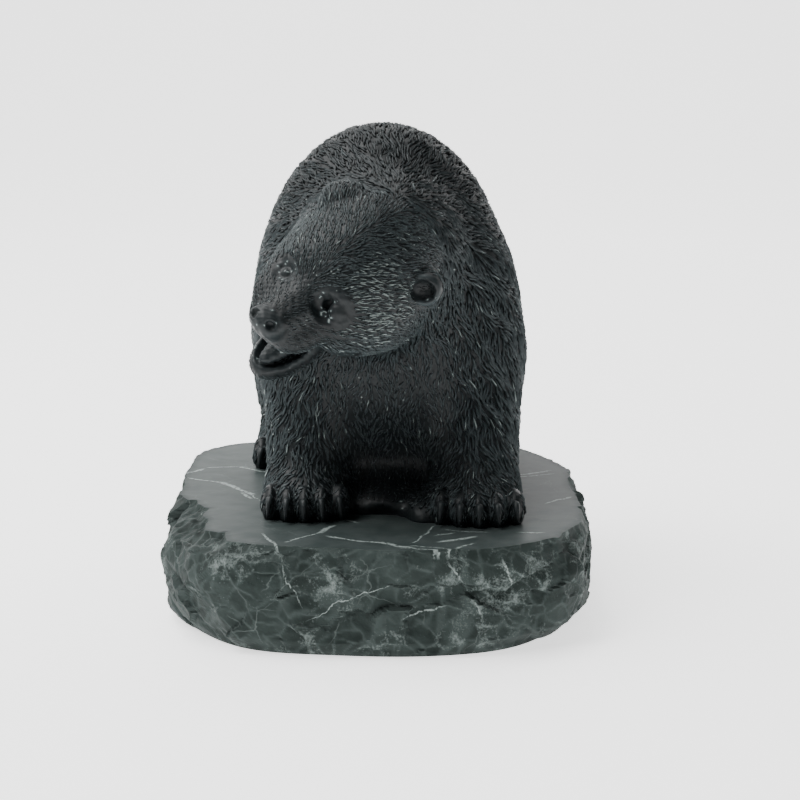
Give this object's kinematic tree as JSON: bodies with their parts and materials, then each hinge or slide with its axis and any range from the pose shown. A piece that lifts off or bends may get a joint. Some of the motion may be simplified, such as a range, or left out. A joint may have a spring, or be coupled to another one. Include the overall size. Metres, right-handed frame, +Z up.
{
  "type": "bear figurine",
  "caption": "Standing bear figurine with turned head, open mouth and clawed paws, on a thick rough-sided stone slab with a honed top.",
  "frame": {"origin": "under the middle of the slab, on the surface it stands on", "axes": "+Z up; the bear's body faces -Y, its left side is on +X, and its head is turned towards -X"},
  "size_m": [0.1134, 0.1432, 0.1249],
  "materials": {
    "cast_stone": "pressed black stone, satin",
    "raw_stone": "broken sides, honed grey top with white veins"
  },
  "bodies": {
    "root": {"bear": "cast_stone", "slab": "raw_stone"}
  },
  "joints": []
}
